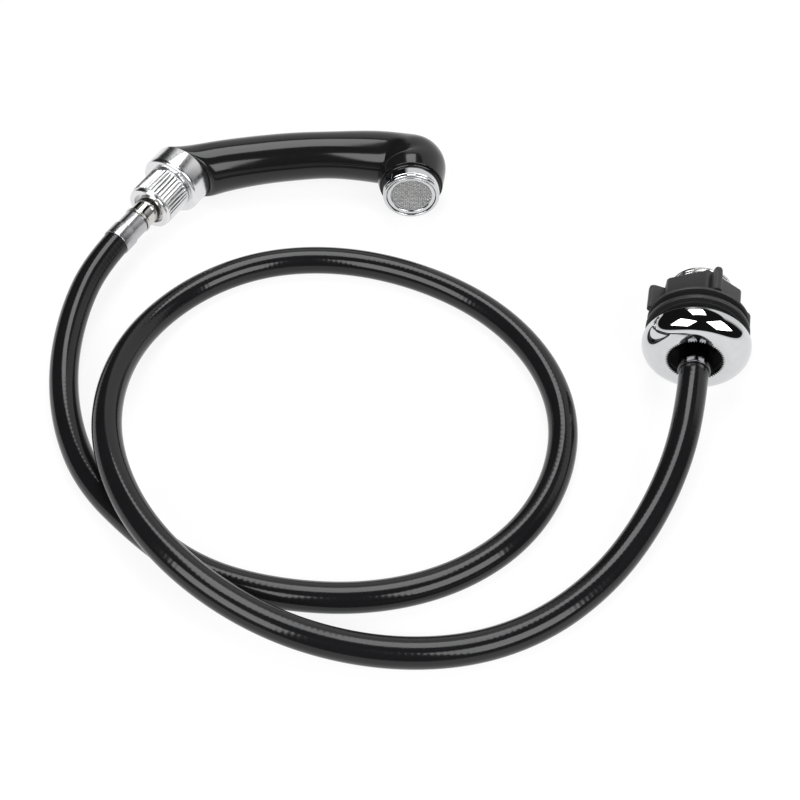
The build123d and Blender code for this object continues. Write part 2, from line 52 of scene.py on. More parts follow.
class Line:
    """A level axis. Stations along it are in millimetres, and first_node starts at first_station."""

    def __init__(self, joint, first_node, sense=1, first_station=0.0):
        self.along = (Vector(joints[joint]["axis"]) * sense).normalized()
        self.side = self.along.cross(Vector((0, 0, 1))).normalized()
        self.up = self.side.cross(self.along)
        self.heading = degrees(atan2(self.along.y, self.along.x))
        self.start = Vector(joints[joint]["pos_m"])
        self.start += self.along * (self.reach(first_node)[0] - first_station) * MM

    def reach(self, node):
        """First station, last station and largest radius of a CAD node."""
        points = np.array([v.co for v in frame["nodes"][node].data.vertices])
        away = (points - np.array(self.start)) / MM
        stations = away @ np.array(self.along)
        radii = np.linalg.norm(away - np.outer(stations, np.array(self.along)), axis=1)
        return stations.min(), stations.max(), radii.max()

    def at(self, station, radius=0.0, angle=0.0):
        """A point in metres. Angle 0 is straight up, and it turns towards the line's side."""
        out = self.up * cos(angle) + self.side * sin(angle)
        return self.start + (self.along * station + out * radius) * MM


SPIGOT_START = 3.05  # the aerator's first station, measured from the middle of the handle's head

coupling = Line("coupling_turn", "handset_ferrule", -1)
dock = Line("wing_nut_turn", "dock_dome", -1)
inlet = Line("inlet_nut_turn", "inlet_ferrule")
spout = Line("aerator_turn", "aerator_housing", first_station=SPIGOT_START)


# ---- materials ------------------------------------------------------------------------------------

class Shader:
    """A material's node tree, with short names for the nodes that the materials here share."""

    def __init__(self, name):
        self.material = bpy.data.materials.new(name)
        self.material.use_nodes = True
        self.tree = self.material.node_tree
        self.principled = self.tree.nodes["Principled BSDF"]

    def set(self, **values):
        for name, value in values.items():
            self.principled.inputs[name.replace("_", " ")].default_value = value
        return self

    def node(self, kind, **inputs):
        made = self.tree.nodes.new(kind)
        for name, value in inputs.items():
            self.feed(made.inputs[name.replace("_", " ")], value)
        return made

    def feed(self, socket, value):
        if isinstance(value, bpy.types.NodeSocket):
            self.tree.links.new(value, socket)
        else:
            socket.default_value = value

    def math(self, operation, first, second=0.0):
        made = self.tree.nodes.new("ShaderNodeMath")
        made.operation = operation
        self.feed(made.inputs[0], first)
        self.feed(made.inputs[1], second)
        return made.outputs[0]

    def places(self):
        """Place on the piece, in metres."""
        return self.node("ShaderNodeTexCoord").outputs["Object"]

    def unrolled(self):
        """Distance round the hose and distance along it, in millimetres."""
        split = self.node("ShaderNodeSeparateXYZ", Vector=self.node("ShaderNodeUVMap").outputs["UV"])
        return split.outputs["X"], split.outputs["Y"]

    def noise(self, scale, detail=3.0):
        """Noise fixed to the piece, finer with scale."""
        made = self.node("ShaderNodeTexNoise", Vector=self.places(), Scale=scale, Detail=detail)
        return made.outputs["Fac"]

    def spread(self, value, low, high):
        """Map 0..1 to low..high."""
        made = self.node("ShaderNodeMapRange", Value=value)
        made.inputs["To Min"].default_value = low
        made.inputs["To Max"].default_value = high
        return made.outputs["Result"]

    def mix(self, factor, first, second):
        made = self.tree.nodes.new("ShaderNodeMix")
        made.data_type = "RGBA"
        self.feed(made.inputs[0], factor)
        made.inputs[6].default_value = (*first, 1)
        made.inputs[7].default_value = (*second, 1)
        return made.outputs[2]

    def rough(self, value):
        self.tree.links.new(value, self.principled.inputs["Roughness"])

    def colour(self, value):
        self.tree.links.new(value, self.principled.inputs["Base Color"])

    def bump(self, height, strength, distance):
        made = self.node("ShaderNodeBump", Height=height, Strength=strength, Distance=distance)
        self.tree.links.new(made.outputs["Normal"], self.principled.inputs["Normal"])


def metal(name, dark, light, smooth, rough, grain=300.0):
    """A metal whose tint and roughness drift a little from place to place."""
    s = Shader(name).set(Metallic=1.0)
    haze = s.noise(grain)
    s.rough(s.spread(haze, smooth, rough))
    s.colour(s.mix(haze, dark, light))
    return s.material


def plastic(name, dark, light, smooth, rough, grain=900.0, grain_depth=0.0, gloss=0.5):
    """A moulded plastic or rubber, with a fine grain if it has a depth."""
    s = Shader(name)
    s.principled.inputs["Specular IOR Level"].default_value = gloss
    speck = s.noise(grain, 4.0)
    s.rough(s.spread(speck, smooth, rough))
    s.colour(s.mix(s.noise(grain / 6), dark, light))
    if grain_depth:
        s.bump(speck, 0.35, grain_depth)
    return s.material


HOSE_R = 7.0
POLISHED_GLOSS = 0.34  # specular level of the hose and the handle
BRAID_STRANDS = 18
BRAID_PITCH = 2.7  # length along the hose of one crossing of the braid, in millimetres
BRAID_DEPTH = 0.000012  # metres


def hose_vinyl():
    """Glossy PVC with the braid beneath showing through as faint crossing ridges."""
    s = Shader("hose_vinyl")
    s.principled.inputs["Specular IOR Level"].default_value = POLISHED_GLOSS
    round_it, along_it = s.unrolled()
    lead = s.math("MULTIPLY", along_it, pi / BRAID_PITCH)
    turn = s.math("MULTIPLY", round_it, BRAID_STRANDS / (2 * HOSE_R))
    left = s.math("SINE", s.math("ADD", lead, turn))
    right = s.math("SINE", s.math("SUBTRACT", lead, turn))
    ridges = s.math("MULTIPLY", left, right)
    uneven = s.math("MULTIPLY", s.noise(500.0, 2.0), 0.5)
    s.bump(s.math("ADD", ridges, uneven), 1.0, BRAID_DEPTH)
    s.rough(s.spread(s.noise(120.0), 0.1, 0.17))
    s.colour(s.mix(s.noise(40.0), (0.006, 0.006, 0.0065), (0.010, 0.010, 0.011)))
    return s.material


def woven_sleeve():
    """The braid under the hose's jacket, seen only where a hose is cut."""
    s = Shader("braid")
    s.rough(s.spread(s.noise(800.0), 0.45, 0.6))
    s.colour(s.mix(s.noise(1500.0), (0.42, 0.43, 0.45), (0.6, 0.61, 0.62)))
    return s.material


MATERIALS = {
    "chrome": metal("chrome", (0.60, 0.605, 0.615), (0.66, 0.665, 0.675), 0.02, 0.05),
    "satin_metal": metal("satin_metal", (0.42, 0.42, 0.43), (0.52, 0.52, 0.53), 0.2, 0.3, grain=500.0),
    "bright_metal": metal("bright_metal", (0.56, 0.55, 0.53), (0.64, 0.63, 0.6), 0.08, 0.16),
    "hose_vinyl": hose_vinyl(),
    "handle_gloss": plastic(
        "handle_gloss", (0.007, 0.007, 0.0075), (0.010, 0.010, 0.0105), 0.10, 0.15, 80.0, gloss=POLISHED_GLOSS
    ),
    "seal_rubber": plastic("seal_rubber", (0.012, 0.012, 0.012), (0.02, 0.02, 0.02), 0.45, 0.6, 1500.0, 2e-5),
    "black_plastic": plastic(
        "black_plastic", (0.013, 0.013, 0.014), (0.021, 0.021, 0.022), 0.42, 0.55, 2200.0, 3e-5
    ),
    "white_plastic": plastic(
        "white_plastic", (0.66, 0.66, 0.64), (0.76, 0.76, 0.74), 0.3, 0.42, 1200.0, 1e-5
    ),
    "steel_mesh": metal("steel_mesh", (0.38, 0.38, 0.38), (0.5, 0.5, 0.5), 0.25, 0.4),
    "shank_metal": metal("shank_metal", (0.66, 0.66, 0.65), (0.76, 0.76, 0.75), 0.16, 0.28, grain=700.0),
    "braid": woven_sleeve(),
    "liner": plastic("liner", (0.44, 0.44, 0.42), (0.54, 0.54, 0.52), 0.4, 0.5, 600.0),
}
# Two chromes that differ from the plain one: a satin casting, and one whose base colour is darkened to paint in
# the dark reflection of the opening it faces.
SATIN_CHROME = metal("satin_chrome", (0.70, 0.70, 0.71), (0.80, 0.80, 0.81), 0.16, 0.28, grain=500.0)
PAINTED_DARK_REFLECTION_CHROME = metal("chrome_painted_dark_reflection", (0.10, 0.10, 0.105), (0.13, 0.13, 0.135), 0.1, 0.16)

for subpart in frame["record"]["subparts"]:
    node = frame["nodes"][subpart["node"]]
    node.data.materials.clear()
    node.data.materials.append(MATERIALS[subpart["material_slot"]])


# ---- making pieces --------------------------------------------------------------------------------

SHARP = radians(32)


def piece(name, points, faces, slot, body, nodes, look=None):
    """A mesh piece that rides on a body and stands for CAD nodes."""
    mesh = bpy.data.meshes.new(name)
    mesh.from_pydata([tuple(p) for p in points], [], faces)
    made = bpy.data.objects.new(name, mesh)
    bpy.context.scene.collection.objects.link(made)
    return dress(made, slot, body, nodes, look)


def face_outward(mesh):
    """Turn a closed mesh's faces outward."""
    edit = bmesh.new()
    edit.from_mesh(mesh)
    bmesh.ops.recalc_face_normals(edit, faces=edit.faces)
    if edit.calc_volume(signed=True) < 0:
        bmesh.ops.reverse_faces(edit, faces=edit.faces)
    edit.to_mesh(mesh)
    edit.free()


def dress(made, slot, body, nodes, look=None):
    """Smooth shading with sharp edges, the slot's material or another look, body and replaced nodes."""
    face_outward(made.data)
    made.data.polygons.foreach_set("use_smooth", [True] * len(made.data.polygons))
    made.data.set_sharp_from_angle(angle=SHARP)
    made.data.materials.append(look or MATERIALS[slot])
    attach(made, body)
    if nodes:
        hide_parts(*nodes)
    return made


def loops_to_faces(loops, count):
    """Faces between each closed loop of count points and the next, and back to the first."""
    faces = []
    for loop in range(loops):
        here = loop * count
        there = (loop + 1) % loops * count
        for k in range(count):
            after = (k + 1) % count
            faces.append((here + k, here + after, there + after, there + k))
    return faces


def rounded(corners, steps=5):
    """Closed outline through (station, radius, rounding) corners, with a curve at each rounded one."""
    outline = []
    for k, (station, radius, size) in enumerate(corners):
        here = Vector((station, radius))
        if not size:
            outline.append(here)
            continue
        start = here + (Vector(corners[k - 1][:2]) - here).normalized() * size
        end = here + (Vector(corners[(k + 1) % len(corners)][:2]) - here).normalized() * size
        for step in range(steps + 1):
            t = step / steps
            outline.append(start * (1 - t) ** 2 + here * 2 * t * (1 - t) + end * t**2)
    return outline


def lathe(name, line, outline, slot, body, nodes, turns=96, shape=None, look=None):
    """Turn a closed outline about a line. shape(station, radius, angle) gives the true radius."""
    points = []
    for turn in range(turns):
        angle = tau * turn / turns
        for station, radius in outline:
            points.append(line.at(station, shape(station, radius, angle) if shape else radius, angle))
    return piece(name, points, loops_to_faces(turns, len(outline)), slot, body, nodes, look)


def zigzag(phase):
    """1 at whole numbers and 0 half way between them, in straight lines."""
    return abs(2 * (phase % 1.0) - 1)


THREAD_FLANK = 1.6  # above 1, the thread's roots are flat


def thread(pitch, depth, start, end, crest):
    """Radius change for a screw thread on the wall whose radius is the crest."""
    def shape(station, radius, angle):
        if abs(radius - crest) > depth / 2 or not start < station < end:
            return radius
        turn = station / pitch - angle / tau
        return radius - depth * (1 - min(1.0, THREAD_FLANK * zigzag(turn)))
    return shape


def threaded_wall(start, end, radius, pitch):
    """Outline points close enough along a wall to carry a thread."""
    count = int((end - start) / pitch * 8)
    return [(start + (end - start) * k / count, radius) for k in range(count + 1)]


# ---- hose -----------------------------------------------------------------------------------------

HOSE_INSERT = 8.0  # how far the hose goes into each ferrule
EXIT_RUN = 16.0  # how far it runs straight out of each
HOSE_SIDES = 40

# Points that pull the hose's line, in millimetres. It passes near them, not through them. They are a
# fit to the hose in the photo, rounded, with some changed.
ROUTE = [
    (-173, -35, 13),
    (-175, -69, 8.5),
    (-168, -104, 7),
    (-153, -136, 7),
    (-127, -163, 7),
    (-98, -186, 7),
    (-62, -197, 7),
    (-22, -199, 7),
    (15, -189, 7),
    (45, -167, 7),
    (64, -135, 7),
    (70, -98, 7),
    (60, -61, 7),
    (36, -29, 7),
    (1, -6, 7),
    (-39, 6, 7),
    (-79, 4, 7),
    (-113, -13, 7),
    (-138, -44, 9.5),
    (-148, -83, 16),
    (-145, -125, 22),
    (-128, -164, 22),
    (-99, -196, 20.5),
    (-63, -217, 15),
    (-23, -226, 9),
    (17, -225, 7),
    (51, -213, 7),
    (80, -190, 7),
    (102, -162, 10),
    (118, -132, 18),
]


def hose_line():
    """Points of the smooth line that the hose follows, from inside one ferrule to inside the other."""
    route = [coupling.at(HOSE_INSERT), coupling.at(-EXIT_RUN)]
    route += [Vector(p) * MM for p in ROUTE]
    route += [inlet.at(-EXIT_RUN), inlet.at(HOSE_INSERT)]
    curve = bpy.data.curves.new("hose_line", "CURVE")
    curve.dimensions = "3D"
    curve.resolution_u = 40
    spline = curve.splines.new("NURBS")
    spline.points.add(len(route) - 1)
    for point, place in zip(spline.points, route):
        point.co = (*place, 1)
    spline.order_u = 3
    spline.use_endpoint_u = True
    guide = bpy.data.objects.new("hose_line", curve)
    bpy.context.scene.collection.objects.link(guide)
    mesh = bpy.data.meshes.new_from_object(guide)
    path = [v.co.copy() for v in mesh.vertices]
    bpy.data.objects.remove(guide)
    bpy.data.curves.remove(curve)
    bpy.data.meshes.remove(mesh)
    return path


def make_hose():
    path = hose_line()
    points = []
    out = Vector((0, 0, 1))
    for k, place in enumerate(path):
        along = (path[min(k + 1, len(path) - 1)] - path[max(k - 1, 0)]).normalized()
        out = (out - along * out.dot(along)).normalized()
        across = along.cross(out)
        for side in range(HOSE_SIDES):
            angle = tau * side / HOSE_SIDES
            points.append(place + (out * cos(angle) + across * sin(angle)) * HOSE_R * MM)
    walls = loops_to_faces(len(path), HOSE_SIDES)[:-HOSE_SIDES]
    last = len(points) - HOSE_SIDES
    caps = [tuple(range(HOSE_SIDES))[::-1], tuple(range(last, last + HOSE_SIDES))]
    hose = piece(
        "hose", points, walls + caps, "hose_vinyl", "hose", ["hose_jacket", "hose_braid", "hose_liner"]
    )
    unroll(hose, path)


def unroll(hose, path):
    """UV in millimetres: distance round the hose, and distance along it."""
    steps = [0.0]
    for here, after in zip(path, path[1:]):
        steps.append(steps[-1] + (after - here).length / MM)
    layer = hose.data.uv_layers.new(name="unrolled")
    for face in hose.data.polygons:
        sides = [hose.data.loops[k].vertex_index % HOSE_SIDES for k in face.loop_indices]
        seam = max(sides) - min(sides) > HOSE_SIDES / 2
        for k, side in zip(face.loop_indices, sides):
            turned = side + HOSE_SIDES if seam and side < HOSE_SIDES / 2 else side
            ring = hose.data.loops[k].vertex_index // HOSE_SIDES
            layer.data[k].uv = (turned / HOSE_SIDES * tau * HOSE_R, steps[ring])


make_hose()


# ---- handset end of the hose ----------------------------------------------------------------------

ferrule_end, FERRULE_R = coupling.reach("handset_ferrule")[1:]
NECK_R = 6.85
CRIMP_END = 8.5
CRIMP_STEP = 0.3
CORE_R = 5.2
HOSE_HOLE_R = HOSE_R + 0.03

lathe(
    "crimped_ferrule",
    coupling,
    rounded([
        (0, HOSE_HOLE_R, 0),
        (0, FERRULE_R, 0.35),
        (CRIMP_END, FERRULE_R, 0.3),
        (CRIMP_END + CRIMP_STEP / 2, NECK_R + 0.1, 0.1),
        (CRIMP_END + CRIMP_STEP, NECK_R, 0),
        (ferrule_end, NECK_R, 0.3),
        (ferrule_end, CORE_R, 0),
        (HOSE_INSERT, CORE_R, 0),
        (HOSE_INSERT, HOSE_HOLE_R, 0),
    ]),
    "satin_metal",
    "hose",
    ["handset_ferrule"],
)

stem_start, stem_end, stem_head_r = coupling.reach("swivel_stem")
STEM_RING = (18.7, 20.0)
STEM_BORE_R = 3.0
TAIL_R = 4.0
UNDERCUT_R = 6.15
STEM_HEAD = stem_end - 2.5
SEAL_SLOT = (32.1, 33.7)
SEAL_SLOT_R = 5.45

lathe(
    "stem",
    coupling,
    rounded([
        (stem_start, STEM_BORE_R, 0),
        (stem_start, TAIL_R, 0.3),
        (HOSE_INSERT, TAIL_R, 0),
        (HOSE_INSERT, CORE_R, 0),
        (ferrule_end, CORE_R, 0),
        (ferrule_end, UNDERCUT_R, 0),
        (STEM_RING[0], UNDERCUT_R, 0),
        (STEM_RING[0], FERRULE_R, 0.4),
        (STEM_RING[1], FERRULE_R, 0.4),
        (STEM_RING[1], NECK_R - 0.2, 0.2),
        (STEM_RING[1] + 0.8, NECK_R, 0.3),
        (SEAL_SLOT[0], NECK_R, 0),
        (SEAL_SLOT[0], SEAL_SLOT_R, 0),
        (SEAL_SLOT[1], SEAL_SLOT_R, 0),
        (SEAL_SLOT[1], NECK_R, 0),
        (STEM_HEAD, NECK_R, 0),
        (STEM_HEAD, stem_head_r, 0.3),
        (stem_end, stem_head_r, 0.3),
        (stem_end, STEM_BORE_R, 0),
    ]),
    "bright_metal",
    "hose",
    ["swivel_stem"],
)


# ---- coupling nut ---------------------------------------------------------------------------------

nut_start, nut_end, nut_r = coupling.reach("coupling_nut")
RIM_R = 12.2
RIM_END = nut_start + 2.5
RIM_BORE_R = 8.85
NUT_LIP = (31.8, 34.0)
NUT_LIP_R = NECK_R + 0.2
NUT_BORE_R = 10.53
FLUTES = 36
FLUTE_DEPTH = 0.55
FLUTE_RUN = (RIM_END + 0.3, nut_end - 1.1)
FLUTE_FADE = 0.6


def fluted(station, radius, angle):
    """Rounded ridges with sharp valleys along the nut's wall, fading out at its ends."""
    if radius < RIM_R + 0.2:
        return radius
    fade = min(1.0, max(0.0, (FLUTE_RUN[1] - station) / FLUTE_FADE))
    return radius - FLUTE_DEPTH * fade * (1 - abs(sin(FLUTES * angle / 2)))


lathe(
    "coupling_nut_body",
    coupling,
    rounded([
        (nut_start, RIM_BORE_R, 0.7),
        (nut_start, RIM_R, 1.3),
        (RIM_END, RIM_R, 0.25),
        (FLUTE_RUN[0], RIM_R - 0.25, 0),
        (FLUTE_RUN[0] + 0.05, nut_r, 0.15),
        (FLUTE_RUN[1] - FLUTE_FADE, nut_r, 0),
        (FLUTE_RUN[1], nut_r, 0),
        (nut_end, nut_r, 0.5),
        (nut_end, NUT_BORE_R, 0.3),
        (NUT_LIP[1], NUT_BORE_R, 0),
        (NUT_LIP[1], NUT_LIP_R, 0),
        (NUT_LIP[0], NUT_LIP_R, 0.1),
        (NUT_LIP[0], RIM_BORE_R, 0.2),
    ]),
    "chrome",
    "coupling_nut",
    ["coupling_nut"],
    FLUTES * 10,
    fluted,
    look=SATIN_CHROME,
)


# ---- handset: nipple and collar -------------------------------------------------------------------

nipple_start, nipple_end, nipple_flange_r = coupling.reach("inlet_nipple")
NIPPLE_BORE_R = 7.0
PIPE_R = 10.48
NIPPLE_FLANGE = (51.0, 54.5)
NIPPLE_TAIL_R = 10.4
PIPE_PITCH = 1.814
PIPE_DEPTH = 1.1
THREAD_RUN = (nipple_start + 0.8, 48.4)
TAIL_SLOT = (57.6, 59.4)
TAIL_SLOT_R = 8.75

lathe(
    "nipple",
    coupling,
    [(nipple_start, NIPPLE_BORE_R), (nipple_start, PIPE_R - PIPE_DEPTH)]
    + threaded_wall(THREAD_RUN[0], THREAD_RUN[1], PIPE_R, PIPE_PITCH)
    + rounded([
        (NIPPLE_FLANGE[0], PIPE_R, 0),
        (NIPPLE_FLANGE[0], nipple_flange_r, 0),
        (NIPPLE_FLANGE[1], nipple_flange_r, 0),
        (NIPPLE_FLANGE[1], NIPPLE_TAIL_R, 0),
        (TAIL_SLOT[0], NIPPLE_TAIL_R, 0),
        (TAIL_SLOT[0], TAIL_SLOT_R, 0),
        (TAIL_SLOT[1], TAIL_SLOT_R, 0),
        (TAIL_SLOT[1], NIPPLE_TAIL_R, 0),
        (nipple_end, NIPPLE_TAIL_R, 0.3),
        (nipple_end, NIPPLE_BORE_R, 0),
    ]),
    "bright_metal",
    "handset",
    ["inlet_nipple"],
    shape=thread(PIPE_PITCH, PIPE_DEPTH, THREAD_RUN[0], THREAD_RUN[1], PIPE_R),
)

collar_start, collar_end, collar_r = coupling.reach("handle_collar")
COLLAR_BORE_R = PIPE_R + 0.12
COLLAR_SOCKET_R = 13.3
COLLAR_ROUNDING = 2.4
SEAM = 0.35  # gap between the collar and the handle's shell

lathe(
    "collar",
    coupling,
    rounded([
        (collar_start, COLLAR_BORE_R, 0.3),
        (collar_start, collar_r, COLLAR_ROUNDING),
        (collar_end - SEAM, collar_r, SEAM),
        (collar_end - SEAM, COLLAR_SOCKET_R, 0),
        (NIPPLE_FLANGE[0], COLLAR_SOCKET_R, 0),
        (NIPPLE_FLANGE[0], COLLAR_BORE_R, 0),
    ], steps=8),
    "chrome",
    "handset",
    ["handle_collar"],
    128,
    look=SATIN_CHROME,
)


# ---- handset: handle ------------------------------------------------------------------------------

SHELL_START = collar_end
SHELL_BASE_R = 16.6
SHELL_WALL = 2.6
SOCKET_R = 10.5
HANDLE_SIDES = 96
STEPS_PER_SECTION = 12

# HANDLE, BEND and HEAD are a fit to the handle's outline in the photo, rounded.
# Sections from the collar to the bend: x, y, height of the middle, heading, half width, half height.
HANDLE = [
    (-119.4, 62.8, 17.0, 40.4, 14.8, 15.3),
    (-108.0, 65.8, 17.3, 19.1, 13.6, 14.4),
    (-86.0, 70.9, 17.6, 14.4, 13.3, 13.3),
    (-66.0, 73.3, 18.1, 4.5, 13.0, 13.0),
    (-44.0, 73.8, 18.7, -0.5, 12.9, 12.9),
]

# The bend fans round a point just inside its crease. Each section: heading, radius, height.
BEND_PIVOT = (-19.5, 55.6)
BEND_GAP = 1.5
BEND = [
    (-8.0, 14.3, 19.0),
    (-32.0, 15.0, 19.3),
    (-55.0, 16.9, 19.5),
    (-76.0, 17.2, 19.5),
]
SHOULDER = 10.9
# Sections of the head, across the spout's line: station, radius.
HEAD = [
    (4.4, 18.0),
    (SHOULDER, 16.9),
]
LIP_END = 12.0
LIP_R = 15.8
BORE_R = 13.93
LIP_GROOVE = (0.35, 0.15, 0.4, 0.55)  # depth, then its floor's two edges and its rim, from the lip's wall
SEAT_WALL = 1.0
SEAT_R = 10.9


def round_section(line, station, radius):
    """A round section across a line."""
    return *(line.at(station) / MM), line.heading, radius, radius


def handle_sections(inset):
    """The handle's sections between the collar and the head, drawn in by an inset."""
    sections = []
    for x, y, z, heading, half_width, half_height in HANDLE:
        sections.append((x, y, z, heading, half_width - inset, half_height - inset))
    for heading, radius, height in BEND:
        reach = BEND_GAP + radius
        x = BEND_PIVOT[0] - sin(radians(heading)) * reach
        y = BEND_PIVOT[1] + cos(radians(heading)) * reach
        sections.append((x, y, height, heading, radius - inset, radius - inset))
    return sections


def oval(x, y, z, heading, half_width, half_height):
    """Points of an upright oval across a heading, in millimetres."""
    leftward = np.array((-sin(radians(heading)), cos(radians(heading)), 0))
    turns = np.linspace(0, tau, HANDLE_SIDES, endpoint=False)[:, None]
    upward = np.array((0, 0, 1))
    return np.array((x, y, z)) + leftward * half_width * np.cos(turns) + upward * half_height * np.sin(turns)


def smooth_through(sections):
    """Ovals along natural cubic splines through the given sections."""
    values = np.array([oval(*section) for section in sections])
    gaps = []
    for here, after in zip(sections, sections[1:]):
        turning = abs(radians(after[3] - here[3])) * here[4] / 2
        gaps.append(hypot(after[0] - here[0], after[1] - here[1]) + turning)
    system = np.eye(len(sections))
    pulls = np.zeros_like(values)
    for k in range(1, len(gaps)):
        system[k, k - 1 : k + 2] = gaps[k - 1], 2 * (gaps[k - 1] + gaps[k]), gaps[k]
        pulls[k] = (values[k + 1] - values[k]) / gaps[k] - (values[k] - values[k - 1]) / gaps[k - 1]
    bends = np.linalg.solve(system, 6 * pulls.reshape(len(sections), -1)).reshape(values.shape)
    smooth = []
    for k, gap in enumerate(gaps):
        for b in np.arange(STEPS_PER_SECTION) / STEPS_PER_SECTION:
            a = 1 - b
            flat = a * values[k] + b * values[k + 1]
            smooth.append(flat + ((a**3 - a) * bends[k] + (b**3 - b) * bends[k + 1]) * gap**2 / 6)
    return smooth + [values[-1]]


def make_handle():
    """Outside from the collar to the lip, then the bore, the seat and the hollow back to the socket."""
    outside = [round_section(coupling, SHELL_START, SHELL_BASE_R)] + handle_sections(0)
    outside += [round_section(spout, station, radius) for station, radius in HEAD]
    hollow = [round_section(coupling, SHELL_START + 1, SOCKET_R - 1)] + handle_sections(SHELL_WALL)[1:-1]
    groove_depth, groove_inner, groove_outer, groove_rim = LIP_GROOVE
    lip = [
        (SHOULDER, LIP_R + groove_rim),
        (SHOULDER - groove_depth, LIP_R + groove_outer),
        (SHOULDER - groove_depth, LIP_R + groove_inner),
        (SHOULDER, LIP_R),
        (LIP_END - 0.2, LIP_R),
        (LIP_END, LIP_R - 0.2),
        (LIP_END, BORE_R),
        (SEAT_WALL, BORE_R),
        (SEAT_WALL, SEAT_R),
        (0, SEAT_R),
        (0, BORE_R + 0.3),
    ]
    loops = smooth_through(outside)
    loops += [oval(*round_section(spout, station, radius)) for station, radius in lip]
    loops += smooth_through(hollow)[::-1]
    loops.append(oval(*round_section(coupling, SHELL_START, SOCKET_R)))
    points = np.concatenate(loops) * MM
    faces = loops_to_faces(len(loops), HANDLE_SIDES)
    piece("handle", points, faces, "handle_gloss", "handset", ["handle_shell"])


make_handle()


# ---- aerator --------------------------------------------------------------------------------------

spigot_start, housing_end, housing_r = spout.reach("aerator_housing")
CUP_START = 13.6
CUP_R = 13.25
SPIGOT_R = (11.1, 12.6)  # bore and thread
SPIGOT_PITCH = 1.0
SPIGOT_DEPTH = 0.5
SKIRT_START = LIP_END + 0.1
RIM_GROOVE = housing_end - 2.0
RIM_GROOVE_HALF = 0.25
RIM_GROOVE_DEPTH = 0.3
SPIGOT_THREAD = (spigot_start + 0.4, SKIRT_START - 0.5)

lathe(
    "aerator_body",
    spout,
    [(spigot_start, SPIGOT_R[0]), (spigot_start, SPIGOT_R[1] - SPIGOT_DEPTH)]
    + threaded_wall(SPIGOT_THREAD[0], SPIGOT_THREAD[1], SPIGOT_R[1], SPIGOT_PITCH)
    + rounded([
        (SKIRT_START, SPIGOT_R[1], 0),
        (SKIRT_START, housing_r, 0.4),
        (RIM_GROOVE - RIM_GROOVE_HALF, housing_r, 0.15),
        (RIM_GROOVE, housing_r - RIM_GROOVE_DEPTH, 0.1),
        (RIM_GROOVE + RIM_GROOVE_HALF, housing_r, 0.15),
        (housing_end, housing_r, 1.2),
        (housing_end, CUP_R, 0.5),
        (CUP_START, CUP_R, 0),
        (CUP_START, SPIGOT_R[0], 0),
    ], steps=7),
    "chrome",
    "aerator",
    ["aerator_housing"],
    128,
    thread(SPIGOT_PITCH, SPIGOT_DEPTH, SPIGOT_THREAD[0], SPIGOT_THREAD[1], SPIGOT_R[1]),
)

ring_start, ring_end, ring_r = spout.reach("aerator_inner_ring")
mesh_start, mesh_end, mesh_r = spout.reach("aerator_mesh")

lathe(
    "inner_ring",
    spout,
    rounded([
        (ring_start, mesh_r, 0),
        (ring_start, ring_r, 0),
        (ring_end, ring_r, 0.6),
        (ring_end, mesh_r + 0.1, 0.6),
        (mesh_end, mesh_r, 0),
    ], steps=7),
    "chrome",
    "aerator",
    ["aerator_inner_ring"],
)

WIRE_PITCH = 1.0
WIRE_R = 0.21
WIRE_SIDES = 5
WIRE_STEPS = 4  # points along a wire for each wire that it crosses


def woven_mesh():
    """Two layers of wires, each passing over and under the other layer's wires in turn."""
    middle = (mesh_start + mesh_end) / 2
    most = int(mesh_r / WIRE_PITCH)
    points = []
    faces = []
    for layer in range(2):
        for wire in range(-most, most + 1):
            offset = wire * WIRE_PITCH
            half = (mesh_r**2 - offset**2) ** 0.5
            steps = max(4, int(2 * half / WIRE_PITCH * WIRE_STEPS))
            base = len(points)
            for step in range(steps + 1):
                run = -half + 2 * half * step / steps
                lift = WIRE_R * cos(pi * (run / WIRE_PITCH + wire)) * (1 if layer else -1)
                for side in range(WIRE_SIDES):
                    angle = tau * side / WIRE_SIDES
                    across = offset + WIRE_R * cos(angle)
                    station = middle + lift + WIRE_R * sin(angle)
                    x, y = (run, across) if layer else (across, run)
                    points.append(spout.at(station) + (spout.side * x + spout.up * y) * MM)
            faces += [
                tuple(base + k for k in face) for face in loops_to_faces(steps + 1, WIRE_SIDES)[:-WIRE_SIDES]
            ]
            faces.append(tuple(range(base, base + WIRE_SIDES)))
            end = len(points) - WIRE_SIDES
            faces.append(tuple(range(end, end + WIRE_SIDES))[::-1])
    piece("wire_mesh", points, faces, "steel_mesh", "aerator", ["aerator_mesh"])


woven_mesh()


# ---- inlet ferrule --------------------------------------------------------------------------------

inlet_ferrule_end, INLET_FERRULE_R = inlet.reach("inlet_ferrule")[1:]

lathe(
    "inlet_crimp",
    inlet,
    rounded([
        (0, HOSE_HOLE_R, 0),
        (0, INLET_FERRULE_R, 0.45),
        (inlet_ferrule_end, INLET_FERRULE_R, 0.5),
        (inlet_ferrule_end, CORE_R, 0),
        (HOSE_INSERT, CORE_R, 0),
        (HOSE_INSERT, HOSE_HOLE_R, 0),
    ]),
    "chrome",
    "hose",
    ["inlet_ferrule"],
    # painted reflection: this chrome's darkened base colour stands in for the dark interior it mirrors
    look=PAINTED_DARK_REFLECTION_CHROME,
)


# ---- dock -----------------------------------------------------------------------------------------

dome_depth, dome_r = dock.reach("dock_dome")[1:]
DOME_WALL = 1.8
CROWN_R = 15.6
CROWN_DEPTH = 9.4
FACEPLATE = 3.0
FACE_R = 14.6  # where the face round the hole starts; the two depths are there and at the teeth
FACE_DEPTHS = (0.1, 0.15)
RIM_WIDTH = 0.4
TEETH = 66
TOOTH_TIP_R = 12.9
TOOTH_ROOT_R = 14.2
DOME_STEPS = 24


